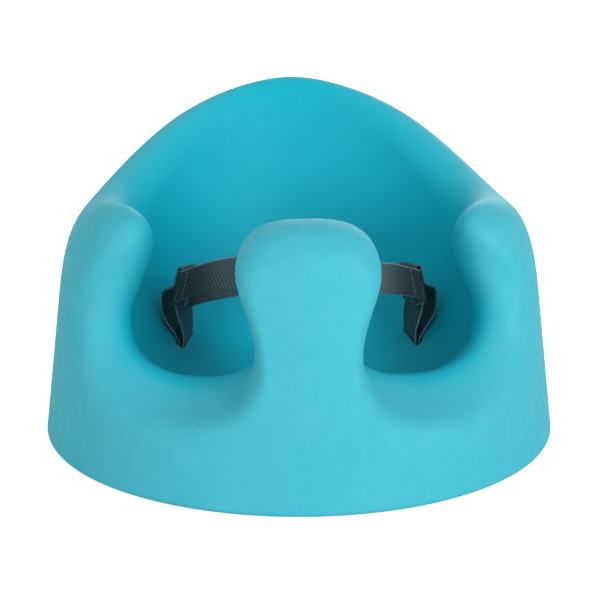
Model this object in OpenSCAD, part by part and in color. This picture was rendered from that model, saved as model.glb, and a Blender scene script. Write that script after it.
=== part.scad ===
// Moulded foam floor seat for a baby, with a webbing lap belt.
// Millimetres. The front faces -Y, +Z is up, and the origin is the centre of the base.

/* [Seat body] */
// Diameter of the base
base_d = 380; // [350:5:410]
// Rounding of the bottom edge
base_edge_r = 4.5; // [2:0.5:8]
// Inward lean of the outer wall, in mm for each mm of height
wall_lean = 0.125; // [0.09:0.005:0.15]
// Height of the seat's floor inside the bowl
floor_z = 40; // [34:1:46]
// Height over which the floor curves up into the wall at the sides and back
floor_round_h = 76; // [68:1:78]
// Height over which the floor curves up at the front, under the thighs
front_round_h = 33; // [30:1:42]
// Radius of the bowl at half height
bowl_r = 104; // [94:1:112]
// Growth of the bowl's radius, in mm for each mm of height
bowl_lean = 0.12; // [0.08:0.01:0.16]
// Extra width of the bowl at the hips, as a share of its radius
hip_share = 0.05; // [0:0.01:0.08]
// Distance of the bowl's centre behind the base's centre
bowl_back = 2; // [0:0.5:6]
// How far the thigh channels are scooped out of the bowl's wall
thigh_scoop = 38; // [30:1:42]
// How much of that scoop is left under the arm rests
thigh_scoop_top = 17; // [8:1:24]
// Direction of each thigh channel from straight ahead, in degrees
thigh_angle = 59; // [55:1:62]
// Spread of a thigh channel, in degrees
thigh_spread = 24; // [20:1:28]

/* [Rim] */
// Height of the back rest's rim
back_h = 242; // [220:1:260]
// Height of the horn between the legs
horn_h = 186; // [176:1:196]
// Width of the horn's head, along the wall
horn_w = 116; // [104:1:124]
// Width of the horn's neck, along the wall
neck_w = 74; // [64:1:84]
// Height of the lip under each leg opening
lip_z = 67; // [62:1:72]
// How far a leg opening reaches round from straight ahead, along the wall
leg_reach = 164; // [158:1:172]
// How far the arm rest's nose stands from straight ahead, along the wall
arm_reach = 142; // [136:1:150]
// Height of the arm rest
arm_h = 182; // [174:1:190]
// Height of the rim's low point beside the hips
hip_h = 169; // [162:1:176]
// Depth of the rounded shoulder outside the arm rests
shoulder_h = 62; // [50:1:72]
// Depth of the rounding outside the back rest's rim
back_round = 33; // [24:1:42]

/* [Underside] */
// Diameter of the shallow recess under the base
recess_d = 308; // [290:2:320]
// Depth of that recess
recess_h = 18; // [12:1:22]

/* [Webbing] */
// Width of the webbing
strap_w = 25; // [20:1:27]
// Thickness of the webbing
strap_t = 1.5; // [1.2:0.1:1.8]
// Gap between webbing and what it passes or wraps
strap_gap = 0.4; // [0.3:0.1:0.8]

/* [Belt anchors] */
// Distance of each belt slot from the middle of the seat
slot_x = 86; // [83:1:88]
// Turn of each belt slot from straight fore and aft, in degrees
slot_turn = 12; // [6:1:16]
// Turn of the anchor loop at the belt's end, which twists it above the foam
belt_turn = 25; // [15:1:32]
// Height at which the anchor loop starts to open out and twist
loop_z = 64; // [62:1:66]
// Height of the anchor loop's top
loop_top = 122.5; // [121:0.5:125]
// How far the anchor loop's outer leg swings out
loop_bulge = 12.5; // [10:0.5:12.5]
// Lean of the belt's end towards the middle, in degrees
end_lean = 14; // [8:1:16]
// Length of the retainer plate under the foam
plate_l = 56; // [46:1:66]
// Width of the retainer plate
plate_w = 30; // [24:1:36]
// Thickness of the retainer plate
plate_t = 4; // [3:0.5:5]
// Diameter of the cross pin that the loop hangs on
pin_d = 5; // [4:0.5:6]
// Length of the cross pin
pin_l = 36; // [32:1:44]

/* [Buckle] */
// Height of the buckle's middle above the floor
buckle_z = 121.5; // [112:0.5:128]
// Distance of the buckle in front of the seat's middle
buckle_y = 26; // [20:1:34]
// Height of the buckle's housing, across the webbing
buckle_w = 34; // [31:1:38]
// Thickness of the buckle's housing
buckle_t = 12; // [11:0.5:14]
// Wall of the buckle's housing
buckle_wall = 1.8; // [1.4:0.1:2.2]
// Length of the housing from its mouth to its webbing slot
housing_l = 24; // [22:1:28]
// Length of the tongue's grip, between the housing and the adjuster
grip_l = 8; // [6:0.5:10]
// Diameter of the bars that the webbing passes
bar_d = 3; // [2.6:0.1:3.4]
// Gap between bars of the tongue's adjuster
bar_gap = 3.5; // [3.3:0.1:4]
// Clearance between the buckle's moving pieces
buckle_gap = 0.35; // [0.25:0.05:0.6]

/* [Hidden] */
map_r = 165;
half_turn = PI * map_r;
foam_colour = [0.27, 0.73, 0.80];
webbing_colour = [0.11, 0.13, 0.15];
plastic_colour = [0.06, 0.06, 0.07];
steel_colour = [0.62, 0.63, 0.65];
base_r = base_d / 2;
recess_r = recess_d / 2;
horn_half = horn_w / 2;
neck_half = neck_w / 2;
bulb_z = horn_h - 36;
neck_z = horn_h - 88;
shell_lines = 144;
wall_rows = 8;
arch_rows = 5;
bowl_rows = 10;

// ---- small helpers ----

function unit(v) = v / norm(v);
function clamp01(x) = min(1, max(0, x));
function smooth01(x) = let (q = clamp01(x)) q * q * (3 - 2 * q);
function bezier(p, t) =
    pow(1 - t, 3) * p[0] + 3 * pow(1 - t, 2) * t * p[1]
    + 3 * (1 - t) * t * t * p[2] + pow(t, 3) * p[3];
// Weights of a uniform cubic B-spline at the fraction f of a span.
function spline_weights(f) = [
    pow(1 - f, 3) / 6,
    (3 * f * f * f - 6 * f * f + 4) / 6,
    (-3 * f * f * f + 3 * f * f + 3 * f + 1) / 6,
    f * f * f / 6
];
// Catmull-Rom curve through the points p, with n steps for each span.
function through(p, n, closed = false) =
    let (
        m = len(p),
        last = closed ? m : m - 1,
        at = function (i) closed ? p[(i + m) % m] : p[min(m - 1, max(0, i))]
    )
    [
        for (i = [0 : last - 1], k = [0 : n - 1])
            let (a = at(i - 1), b = at(i), c = at(i + 1), d = at(i + 2), t = k / n)
            0.5 * (2 * b + (c - a) * t + (2 * a - 5 * b + 4 * c - d) * t * t
                + (3 * b - a - 3 * c + d) * t * t * t),
        if (!closed) p[m - 1]
    ];

// ---- the foam seat: one loft whose lines run from the base, up the outer wall,
// ---- over the rim and down the bowl ----

// A place on the outer wall or the bowl is given as the distance w round a circle
// of radius map_r from straight ahead, and the height z.
function turn_of(w) = w / map_r * 180 / PI;
function on_wall(w, z) =
    let (a = turn_of(w), r = base_r - wall_lean * z)
    [r * sin(a), -r * cos(a), z];
function off_ahead(a) = abs((a + 540) % 360 - 180);
function bowl_reach(a, z) =
    let (
        scoop = thigh_scoop - (thigh_scoop - thigh_scoop_top) * smooth01((z - 95) / 60),
        away = (off_ahead(a) - thigh_angle) / thigh_spread
    )
    (bowl_r + bowl_lean * (z - 90)) * (1 + hip_share * pow(sin(a), 2)) + scoop * exp(-away * away);
function on_bowl(w, z) =
    let (
        a = turn_of(w),
        front = smooth01((88 - off_ahead(a)) / 48),
        round_h = floor_round_h - (floor_round_h - front_round_h) * front,
        t = clamp01((z - floor_z) / round_h),
        r = bowl_reach(a, z) * sqrt(max(0, 1 - pow(1 - t, 2.2)))
    )
    [r * sin(a), bowl_back + 0.1 * max(z - 70, 0) - r * cos(a), z];

// Right half of the rim, front to back. Each row holds the ridge (w, z), the outer
// seam (w, z) where the rim's rounding meets the wall, the inner seam (w, z) where
// it meets the bowl, and the w at which the line starts at the base and ends at the floor.
function rim_stations() =
    let (h = horn_half, n = neck_half, e = leg_reach, a = arm_reach)
    [
        [0, horn_h, 0, horn_h - 28, 0, horn_h - 24, 0, 0],
        [0.48 * h, horn_h - 1, 0.29 * h, horn_h - 28, 0.33 * h, horn_h - 25, 4, 5],
        [0.86 * h, horn_h - 11, 0.5 * h, horn_h - 33, 0.54 * h, horn_h - 32, 8, 10],
        [h, bulb_z, 0.62 * h, bulb_z - 6, 0.63 * h, bulb_z - 7, 12, 16],
        [0.4 * h + 0.59 * n, bulb_z - 24, 0.78 * n, bulb_z - 26, 0.92 * n, bulb_z - 28, 17, 21],
        [n, neck_z, 0.68 * n, neck_z - 2, 0.84 * n, neck_z - 3, 25, 37],
        [n + 6, lip_z + 10, n - 4, lip_z - 5, n + 4, lip_z - 1, 37, 61],
        [n + 31, lip_z + 1, n + 23, lip_z - 25, n + 33, lip_z - 14, 60, 70],
        [n + 63, lip_z - 2, n + 63, lip_z - 30, n + 65, lip_z - 16, 100, 100],
        [e - 39, lip_z + 2, e - 29, lip_z - 26, e - 35, lip_z - 13, 138, 140],
        [e - 1, lip_z + 19, e + 21, lip_z - 9, e + 2, lip_z + 7, 166, 160],
        [e + 2, lip_z + 48, e + 36, lip_z + 19, e + 11, lip_z + 34, 190, 186],
        [a + 4, arm_h - 32, a + 62, arm_h - 76, a + 25, arm_h - 47, 208, 215],
        [a - 5, arm_h - 5, a + 60, arm_h - shoulder_h - 8, a + 42, arm_h - 26, 222, 246],
        [a + 36, arm_h, a + 78, arm_h - shoulder_h - 10, a + 66, arm_h - 24, 236, 256],
        [232, hip_h + 4, 254, hip_h - shoulder_h + 1, 246, hip_h - 19, 256, 276],
        [280, hip_h, 288, hip_h - shoulder_h + 1, 286, hip_h - 23, 288, 302],
        [326, hip_h + 8, 327, hip_h - shoulder_h + 15, 326, hip_h - 14, 327, 338],
        [369, back_h - 47, 369, back_h - 92, 369, back_h - 68, 369, 375],
        [412, back_h - 26, 412, back_h - 64, 412, back_h - 45, 412, 414],
        [455, back_h - 11, 455, back_h - back_round - 11, 455, back_h - 29, 455, 456],
        [492, back_h - 2, 492, back_h - back_round - 2, 492, back_h - 21, 492, 493],
        [half_turn, back_h, half_turn, back_h - back_round, half_turn, back_h - 19,
            half_turn, half_turn]
    ];
turn_step = [2 * half_turn, 0, 2 * half_turn, 0, 2 * half_turn, 0, 2 * half_turn, 2 * half_turn];
function mirrored(s) =
    [for (i = [0 : 7]) turn_step[i] == 0 ? s[i] : 2 * half_turn - s[i]];
rim_half = rim_stations();
rim_loop = concat(rim_half, [for (i = [len(rim_half) - 2 : -1 : 1]) mirrored(rim_half[i])]);
rim_count = len(rim_loop);
function rim_knot(k) = rim_loop[(k + rim_count) % rim_count] + floor(k / rim_count) * turn_step;
function rim_at(u) =
    let (i = floor(u), b = spline_weights(u - i))
    b[0] * rim_knot(i - 1) + b[1] * rim_knot(i) + b[2] * rim_knot(i + 1) + b[3] * rim_knot(i + 2);

// Even steps along the ridge: pairs of the length so far and the spline's parameter.
ridge_fine = 12 * rim_count;
ridge = [for (i = [0 : ridge_fine]) let (r = rim_at(i / 12)) [r[0], r[1]]];
ridge_length = [
    for (i = 0, s = 0; i <= ridge_fine; s = s + (i < ridge_fine ? norm(ridge[i + 1] - ridge[i]) : 0),
        i = i + 1) [s, i / 12]
];
ridge_total = ridge_length[ridge_fine][0];

function slope_on_wall(p, d) = unit(on_wall(p.x + d.x, p.y + d.y) - on_wall(p.x - d.x, p.y - d.y));
function slope_on_bowl(p, d) = unit(on_bowl(p.x + d.x, p.y + d.y) - on_bowl(p.x - d.x, p.y - d.y));

// Step along a bowl curve that starts at the height h above the floor. Near the floor,
// the points of all lines then lie at the same heights.
function bowl_step(h, s) =
    let (level = 60 * pow((1 - s) / s, 1.3), share = 1 / sqrt(1 + pow(h / level, 2)))
    0.5 - sin(asin(2 * share - 1) / 3);

// One line of the loft, for one row of the rim.
function shell_line(s) =
    let (
        ridge_p = [s[0], s[1]],
        outer_p = [s[2], s[3]],
        inner_p = [s[4], s[5]],
        base_p = [s[6], base_edge_r],
        floor_p = [s[7], floor_z],
        a = turn_of(s[6]),
        ring = function (r, z) [r * sin(a), -r * cos(a), z],
        up_out = unit(ridge_p - outer_p),
        up_in = unit(ridge_p - inner_p),
        rise = norm(outer_p - base_p),
        drop = norm(inner_p - floor_p),
        pull = min(0.33 * rise, 0.6 * norm(ridge_p - outer_p)),
        sink = min(0.35 * drop, 0.8 * norm(ridge_p - inner_p)),
        wall_curve = [base_p, base_p + [0, 0.45 * rise], outer_p - pull * up_out, outer_p],
        bowl_curve = [inner_p, inner_p - sink * up_in, floor_p, floor_p],
        from = on_wall(outer_p.x, outer_p.y),
        to = on_bowl(inner_p.x, inner_p.y),
        top = (on_wall(ridge_p.x, ridge_p.y) + on_bowl(ridge_p.x, ridge_p.y)) / 2,
        d_out = slope_on_wall(outer_p, 0.5 * up_out),
        d_in = slope_on_bowl(inner_p, 0.5 * up_in),
        crest = unit(d_out + d_in),
        span = to - from,
        across = unit(span - (span * crest) * crest),
        k = 0.5523,
        arch_out = [from, from + k * abs((top - from) * d_out) * d_out,
            top - k * abs((top - from) * across) * across, top],
        arch_in = [top, top + k * abs((to - top) * across) * across,
            to + k * abs((top - to) * d_in) * d_in, to]
    )
    [
        ring(recess_r - 8, recess_h),
        ring(recess_r - 3, recess_h * 0.7),
        ring(recess_r, recess_h * 0.25),
        ring(recess_r + 4, 0),
        ring(base_r - base_edge_r, 0),
        for (i = [1 : 3])
            let (q = 30 * i)
            ring(base_r - base_edge_r + base_edge_r * (1 - wall_lean * i / 3) * sin(q),
                base_edge_r * (1 - cos(q))),
        for (i = [1 : wall_rows])
            let (p = bezier(wall_curve, i / wall_rows)) on_wall(p.x, p.y),
        for (i = [1 : arch_rows]) bezier(arch_out, i / arch_rows),
        for (i = [1 : arch_rows]) bezier(arch_in, i / arch_rows),
        for (i = [1 : bowl_rows - 1])
            let (p = bezier(bowl_curve, bowl_step(inner_p.y - floor_z, i / bowl_rows)))
            on_bowl(p.x, max(p.y, floor_z + 0.001))
    ];

module foam_loft() {
    lines = [
        for (i = [0 : shell_lines - 1])
            shell_line(rim_at(lookup(ridge_total * i / shell_lines, ridge_length)))
    ];
    n = shell_lines;
    m = len(lines[0]);
    points = concat(
        [for (l = lines) each l],
        [[0, 0, recess_h], [0, bowl_back, floor_z]]
    );
    faces = [
        for (i = [0 : n - 1])
            let (j = (i + 1) % n)
            each [
                [n * m, j * m, i * m],
                [i * m + m - 1, j * m + m - 1, n * m + 1],
                for (k = [0 : m - 2])
                    let (a = i * m + k, b = j * m + k)
                    each norm(points[a] - points[b + 1]) < norm(points[b] - points[a + 1])
                        ? [[a, b, b + 1], [a, b + 1, a + 1]]
                        : [[a, b, a + 1], [b, b + 1, a + 1]]
            ]
    ];
    // Faces run clockwise as seen from outside.
    polyhedron(points = points, faces = [for (f = faces) [f[2], f[1], f[0]]], convexity = 12);
}

// Frame of a belt anchor, on the left for side -1 and on the right for side 1: local Y
// runs along the slot, and the seat's middle lies towards -side along local X.
module at_anchor(side, turn = slot_turn) {
    translate([side * slot_x, 0, 0])
        rotate([0, 0, side * turn])
            children();
}

slot_l = strap_w + 2;
plate_slot = 2 * strap_t + 6 * strap_gap;
foam_slot = 2 * strap_t + 9 * strap_gap;

module slot_2d(l, w) {
    square([w, l - w], center = true);
    for (s = [-1, 1])
        translate([0, s * (l - w) / 2])
            circle(d = w, $fn = 32);
}

module seat_shell() {
    color(foam_colour)
        difference() {
            foam_loft();
            for (side = [-1, 1])
                at_anchor(side)
                    translate([0, 0, recess_h - 4])
                        linear_extrude(height = 90 - recess_h)
                            slot_2d(slot_l + foam_slot, foam_slot);
        }
}

// ---- belt anchors ----

plate_z = recess_h - plate_t;
pin_z = plate_z - pin_d / 2 - strap_t - 3 * strap_gap;
leg_x = (strap_t + strap_gap) / 2;
wrap_r = pin_d / 2 + strap_t / 2 + strap_gap;
fold_r = strap_t / 2 + 2 * strap_gap;
beside_fold = fold_r + 1.5 * strap_t + strap_gap + 0.2;
bend_r = beside_fold / 2;
bend_z = loop_top - strap_t / 2 - bend_r;
fold_l = 2 + 2 * strap_t + 4 * strap_gap;
fold_z = loop_top - 16;

// Middle of the belt's end fold at a height z, from the slot towards the seat's middle.
function fold_x(z) = 2.4 + (z - fold_z) * tan(end_lean);

// Middle line of the anchor loop, in the anchor's X and Z: round the pin, up through
// the plate, the foam and the belt's end fold, over the top and down outside the fold.
function loop_line() = [
    for (a = [-220 : 26 : 40]) [0, pin_z] + wrap_r * [cos(a), sin(a)],
    [leg_x + 0.6, plate_z + 0.8],
    [leg_x, plate_z + 6],
    [leg_x, (plate_z + loop_z) / 2],
    [leg_x, loop_z],
    [leg_x - 0.5, loop_z + 12],
    [fold_x(fold_z - 12) + 0.3, loop_z + 24],
    for (h = [-12 : 8 : 4]) [fold_x(fold_z + h), fold_z + h],
    for (a = [0 : 60 : 180]) [fold_x(bend_z) - bend_r, bend_z] + bend_r * [cos(a), sin(a)],
    [fold_x(bend_z - 6) - beside_fold, bend_z - 6],
    [fold_x(fold_z + 2) - beside_fold - 0.5, fold_z + 2],
    [-0.6 * loop_bulge, fold_z - 1.5],
    [-0.94 * loop_bulge, fold_z - 5],
    [-loop_bulge, fold_z - 11],
    [-0.94 * loop_bulge, fold_z - 20],
    [-0.72 * loop_bulge, fold_z - 26],
    [-0.36 * loop_bulge, loop_z + 9.5],
    [-2, loop_z + 4],
    [-leg_x, loop_z],
    [-leg_x, (plate_z + loop_z) / 2],
    [-leg_x, plate_z + 6],
    [-leg_x - 0.6, plate_z + 0.8]
];

// A place in the anchor's frame, turned further the higher it lies above the foam.
function twisted(side, x, y, z) =
    let (a = slot_turn + (belt_turn - slot_turn) * smooth01((z - loop_z) / 26))
    [side * (slot_x - x * cos(a) - y * sin(a)), y * cos(a) - x * sin(a), z];

// Triangles of a band with four corners to a ring, and with its ends closed off or
// joined to each other.
function band_faces(n, closed) = [
    if (!closed) each [
        [0, 2, 1],
        [0, 3, 2],
        [4 * n - 4, 4 * n - 3, 4 * n - 2],
        [4 * n - 4, 4 * n - 2, 4 * n - 1]
    ],
    for (i = [0 : closed ? n - 1 : n - 2], k = [0 : 3])
        let (j = (i + 1) % n, l = (k + 1) % 4)
        each [[4 * i + k, 4 * i + l, 4 * j + l], [4 * i + k, 4 * j + l, 4 * j + k]]
];

module anchor_loop(side) {
    line = through(loop_line(), 3, true);
    n = len(line);
    points = [
        for (i = [0 : n - 1])
            let (
                t = unit(line[(i + 1) % n] - line[(i + n - 1) % n]),
                out = strap_t / 2 * [-t.y, t.x],
                a = line[i] + out,
                b = line[i] - out,
                w = strap_w / 2
            )
            each [
                twisted(side, a.x, -w, a.y),
                twisted(side, b.x, -w, b.y),
                twisted(side, b.x, w, b.y),
                twisted(side, a.x, w, a.y)
            ]
    ];
    faces = band_faces(n, true);
    color(webbing_colour)
        polyhedron(
            points = points,
            faces = side > 0 ? faces : [for (f = faces) [f[2], f[1], f[0]]],
            convexity = 6
        );
}

module anchor_plate(side) {
    color(plastic_colour)
        at_anchor(side)
            translate([0, 0, plate_z])
                difference() {
                    union() {
                        linear_extrude(height = plate_t)
                            slot_2d(plate_l, plate_w);
                        // Two ridges below the plate keep the pin from rolling.
                        for (s = [-1, 1])
                            translate([s * (wrap_r + strap_t / 2 + strap_gap + 1.5) - 1, -pin_l / 2, -2])
                                cube([2, pin_l, 2.5]);
                    }
                    translate([0, 0, -1])
                        linear_extrude(height = plate_t + 2)
                            slot_2d(slot_l + plate_slot, plate_slot);
                }
}

module anchor_pin(side) {
    color(steel_colour)
        at_anchor(side)
            translate([0, 0, pin_z])
                rotate([90, 0, 0])
                    rotate_extrude($fn = 48)
                        polygon([
                            [0, -pin_l / 2],
                            [pin_d / 2 - 0.6, -pin_l / 2],
                            [pin_d / 2, -pin_l / 2 + 0.6],
                            [pin_d / 2, pin_l / 2 - 0.6],
                            [pin_d / 2 - 0.6, pin_l / 2],
                            [0, pin_l / 2]
                        ]);
}

// ---- lap straps ----

// Places along the buckle, as distances from its middle. The tongue is on the left.
mouth_x = housing_l / 2 - 3;
prong_x = mouth_x + buckle_gap + 1;
block_x = prong_x + grip_l;
bar_pitch = bar_d + bar_gap;
bar_wrap = bar_d / 2 + strap_gap + strap_t / 2;
inner_bar_x = block_x + bar_wrap + strap_t / 2 + strap_gap;
outer_bar_x = inner_bar_x + bar_pitch;
housing_bar_x = housing_l / 2 + 9.5;

seam_x = fold_x(fold_z) + fold_l + 0.9;

// Route of a strap from its sewn end towards the buckle: distance from the middle of
// the seat, y, z, and the lean of its width in degrees.
function strap_route() = [
    [slot_x - seam_x * cos(belt_turn), -seam_x * sin(belt_turn), fold_z + 0.2, end_lean],
    [slot_x - 19, -11.2, fold_z + 3.5, end_lean * 0.6],
    [slot_x - 30, -16.9, fold_z + 8.3, end_lean * 0.3],
    [slot_x - 40, -21, buckle_z - 2, end_lean * 0.1]
];

// Solid band of webbing on one side of the seat, along a route of such places.
module webbing(side, route, w = strap_w, t = strap_t) {
    n = len(route);
    pos = [for (r = route) [side * r[0], r[1], r[2]]];
    along = [for (i = [0 : n - 1]) unit(pos[min(n - 1, i + 1)] - pos[max(0, i - 1)])];
    points = [
        for (i = [0 : n - 1])
            let (
                lean = route[i][3],
                rise = [-side * cos(belt_turn) * sin(lean), -sin(belt_turn) * sin(lean), cos(lean)],
                up = unit(rise - (rise * along[i]) * along[i]),
                out = cross(along[i], up)
            )
            each [
                pos[i] + w / 2 * up + t / 2 * out,
                pos[i] + w / 2 * up - t / 2 * out,
                pos[i] - w / 2 * up - t / 2 * out,
                pos[i] - w / 2 * up + t / 2 * out
            ]
    ];
    polyhedron(points = points, faces = band_faces(n, false), convexity = 6);
}

module loop_2d(circles) {
    difference() {
        hull()
            for (c = circles)
                translate([c[0], c[1]])
                    circle(r = c[2] + strap_t, $fn = 32);
        hull()
            for (c = circles)
                translate([c[0], c[1]])
                    circle(r = c[2], $fn = 32);
    }
}

// The strap's sewn end, folded round the inner leg of the anchor loop.
module anchor_end(side) {
    at_anchor(side, belt_turn)
        translate([-side * fold_x(fold_z), 0, fold_z])
            rotate([0, -side * end_lean, 0])
                translate([0, 0, -strap_w / 2])
                    linear_extrude(height = strap_w)
                        loop_2d([
                            [0, strap_gap - strap_w / 2, fold_r],
                            [0, strap_w / 2 - strap_gap, fold_r],
                            [-side * fold_l, 0, 0.3]
                        ]);
}

module left_lap_strap() {
    y = -buckle_y;
    run = concat(
        strap_route(),
        [
            [outer_bar_x + 8, y + bar_wrap + 0.6, buckle_z, 0],
            [outer_bar_x, y + bar_wrap, buckle_z, 0],
            [outer_bar_x - bar_pitch / 2, y + 0.2, buckle_z, 0]
        ],
        [
            for (a = [-45 : -30 : -255])
                [inner_bar_x + bar_wrap * cos(a), y + bar_wrap * sin(a), buckle_z, 0]
        ]
    );
    // The free end runs back behind the main run, a little lower.
    tail = [
        [outer_bar_x, y + bar_wrap + strap_t + 1.3, buckle_z - 0.4, 0],
        for (i = [3 : -1 : 1])
            let (r = strap_route()[i])
            [r[0] - 0.8, r[1] + 4.2 + 0.3 * (3 - i), r[2] - 3.2 - 0.75 * (3 - i), r[3]],
        [slot_x - 10, -0.6, fold_z - 4.4, end_lean * 0.9]
    ];
    color(webbing_colour)
        union() {
            anchor_end(-1);
            webbing(-1, through(concat(run, tail), 5));
        }
}

module right_lap_strap() {
    y = -buckle_y;
    run = concat(
        strap_route(),
        [
            [housing_bar_x + 14, y + 1.8, buckle_z - 0.4, 0],
            [housing_bar_x + bar_d / 2 + 4.1, y, buckle_z, 0]
        ]
    );
    color(webbing_colour)
        union() {
            anchor_end(1);
            webbing(1, through(run, 5));
            translate([housing_bar_x, y, buckle_z - strap_w / 2])
                linear_extrude(height = strap_w)
                    loop_2d([
                        [0, 0, bar_d / 2 + strap_gap],
                        [bar_d / 2 + 3.2, 0, 0.2]
                    ]);
        }
}

// ---- side-release buckle: X along the belt, Z across the webbing ----

half_w = buckle_w / 2;
half_t = buckle_t / 2;
cave_w = buckle_w - 2 * buckle_wall;
cave_t = buckle_t - 2 * buckle_wall;
catch_x = 3;
window_l = 9;
frame_t = bar_d + 1;
frame_h = strap_w + 2 * strap_gap + 1;
prong_z = cave_w / 2 - buckle_gap - 1.4;

module at_buckle() {
    translate([0, -buckle_y, buckle_z])
        children();
}

// Rounded bar of the height h along Z, for the webbing.
module webbing_bar(h) {
    translate([0, 0, -h / 2])
        cylinder(d = bar_d, h = h, $fn = 48);
}

// Plate in the X-Z plane of the thickness t, with rounded corners.
module side_plate(x0, x1, h, t, r) {
    translate([0, t / 2, 0])
        rotate([90, 0, 0])
            linear_extrude(height = t)
                for (x = [x0 + r, x1 - r], z = [-h / 2 + r, h / 2 - r])
                    union() {
                        translate([x, z])
                            circle(r = r, $fn = 32);
                        translate([min(x, (x0 + x1) / 2), z > 0 ? 0 : z - r])
                            square([abs((x0 + x1) / 2 - x), h / 2]);
                        translate([x < (x0 + x1) / 2 ? x0 : x, min(z, 0)])
                            square([r, abs(z)]);
                    }
}

module buckle_housing() {
    x_end = housing_bar_x + bar_d / 2;
    slot_x0 = housing_l / 2 + 3;
    color(plastic_colour)
        at_buckle()
            difference() {
                union() {
                    side_plate(-mouth_x, housing_l / 2 + 4, buckle_w, buckle_t, 4);
                    side_plate(housing_l / 2 - 2, x_end, buckle_w - 1, frame_t + 2, 3);
                }
                // Cavity for the prongs, open at the mouth.
                translate([-mouth_x - 1, -cave_t / 2, -cave_w / 2])
                    cube([housing_l + 1 - buckle_wall, cave_t, cave_w]);
                // Side windows that the prong heads snap into.
                translate([catch_x, -cave_t / 2, -half_w - 1])
                    cube([window_l, cave_t, buckle_w + 2]);
                // Slot for the webbing, in front of the bar.
                translate([slot_x0, -buckle_t, -frame_h / 2])
                    cube([housing_bar_x - slot_x0, 2 * buckle_t, frame_h]);
                translate([housing_bar_x - 0.01, -buckle_t, -frame_h / 2])
                    cube([bar_d, buckle_t * 2, frame_h]);
                // Thumb dip in the front face.
                translate([housing_l / 2 - 4, -half_t - 9.2, 0])
                    rotate([90, 0, 0])
                        sphere(r = 10, $fn = 64);
            }
    color(plastic_colour)
        at_buckle()
            translate([housing_bar_x, 0, 0])
                webbing_bar(buckle_w - 3);
}

module buckle_tongue() {
    color(plastic_colour)
        at_buckle()
            union() {
                difference() {
                    side_plate(-outer_bar_x - bar_d / 2, -prong_x, buckle_w - 1, frame_t, 2);
                    translate([-outer_bar_x - bar_d, -buckle_t, -frame_h / 2])
                        cube([outer_bar_x + bar_d - block_x, 2 * buckle_t, frame_h]);
                }
                for (x = [outer_bar_x, inner_bar_x])
                    translate([-x, 0, 0])
                        webbing_bar(frame_h + 1);
                // Thick block behind the mouth, with grip ribs.
                side_plate(-block_x, -prong_x, buckle_w, buckle_t - 3, 2.5);
                for (x = [1.8 - block_x : 1.8 : -prong_x - 1.6], s = [-1, 1])
                    translate([x, s * (buckle_t / 2 - 1.5), -half_w + 5])
                        cylinder(d = 0.9, h = buckle_w - 10, $fn = 24);
                // Guide blade between the prongs.
                translate([-prong_x - 1, -cave_t / 2 + buckle_gap, -3])
                    cube([housing_l / 2 - buckle_wall - 4 + prong_x, cave_t - 2 * buckle_gap, 6]);
            }
}

// A prong with its arrow head, drawn in X and Z for the upper side.
module prong(side) {
    tip = catch_x + window_l - 0.8;
    color(plastic_colour)
        at_buckle()
            scale([1, 1, side])
                translate([0, cave_t / 2 - buckle_gap, 0])
                    rotate([90, 0, 0])
                        linear_extrude(height = cave_t - 2 * buckle_gap)
                            polygon([
                                [2 * buckle_gap - prong_x, prong_z - 3.2],
                                [2 * buckle_gap - prong_x, prong_z + 1],
                                [catch_x + buckle_gap, prong_z + 1],
                                [catch_x + buckle_gap, half_w + 0.4],
                                [catch_x + 4, half_w + 0.8],
                                [tip - 1, half_w - 0.6],
                                [tip, half_w - 3.2],
                                [tip - 1.5, half_w - 5.6],
                                [catch_x + 1, prong_z - 2.2],
                                [6 - prong_x, prong_z - 2.2]
                            ]);
}

module upper_prong() {
    prong(1);
}

module lower_prong() {
    prong(-1);
}

seat_shell();
anchor_loop(-1);  // left_anchor_loop
anchor_loop(1);  // right_anchor_loop
anchor_plate(-1);  // left_anchor_plate
anchor_plate(1);  // right_anchor_plate
anchor_pin(-1);  // left_anchor_pin
anchor_pin(1);  // right_anchor_pin
left_lap_strap();
right_lap_strap();
buckle_tongue();
upper_prong();
lower_prong();
buckle_housing();
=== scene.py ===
import math

import bmesh
import bpy
import numpy as np
from mathutils import Matrix, Vector


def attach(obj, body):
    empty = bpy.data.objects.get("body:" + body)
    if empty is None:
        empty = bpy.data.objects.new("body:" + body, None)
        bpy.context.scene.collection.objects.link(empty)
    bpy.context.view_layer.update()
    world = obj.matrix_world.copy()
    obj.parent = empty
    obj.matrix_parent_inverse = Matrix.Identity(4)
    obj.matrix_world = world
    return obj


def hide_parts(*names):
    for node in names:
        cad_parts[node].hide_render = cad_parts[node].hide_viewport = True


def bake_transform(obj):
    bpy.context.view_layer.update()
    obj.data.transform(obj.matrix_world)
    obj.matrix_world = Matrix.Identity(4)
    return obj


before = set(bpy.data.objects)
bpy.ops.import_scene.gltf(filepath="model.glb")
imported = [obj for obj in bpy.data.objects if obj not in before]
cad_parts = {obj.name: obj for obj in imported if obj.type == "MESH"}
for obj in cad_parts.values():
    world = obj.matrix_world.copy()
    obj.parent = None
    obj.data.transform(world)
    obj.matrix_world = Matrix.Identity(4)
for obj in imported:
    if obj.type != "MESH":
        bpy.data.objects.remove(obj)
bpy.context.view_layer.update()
mm = 0.001


# small helpers

def linearColour(hexCode):
    parts = [int(hexCode[i:i + 2], 16) / 255 for i in (1, 3, 5)]
    return [p / 12.92 if p <= 0.04045 else ((p + 0.055) / 1.055) ** 2.4 for p in parts] + [1.0]


def addNode(tree, kind, settings=None, inputs=None):
    node = tree.nodes.new(kind)
    for name, value in (settings or {}).items():
        setattr(node, name, value)
    for name, value in (inputs or {}).items():
        if isinstance(value, bpy.types.NodeSocket):
            tree.links.new(value, node.inputs[name])
        else:
            node.inputs[name].default_value = value
    return node


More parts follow.
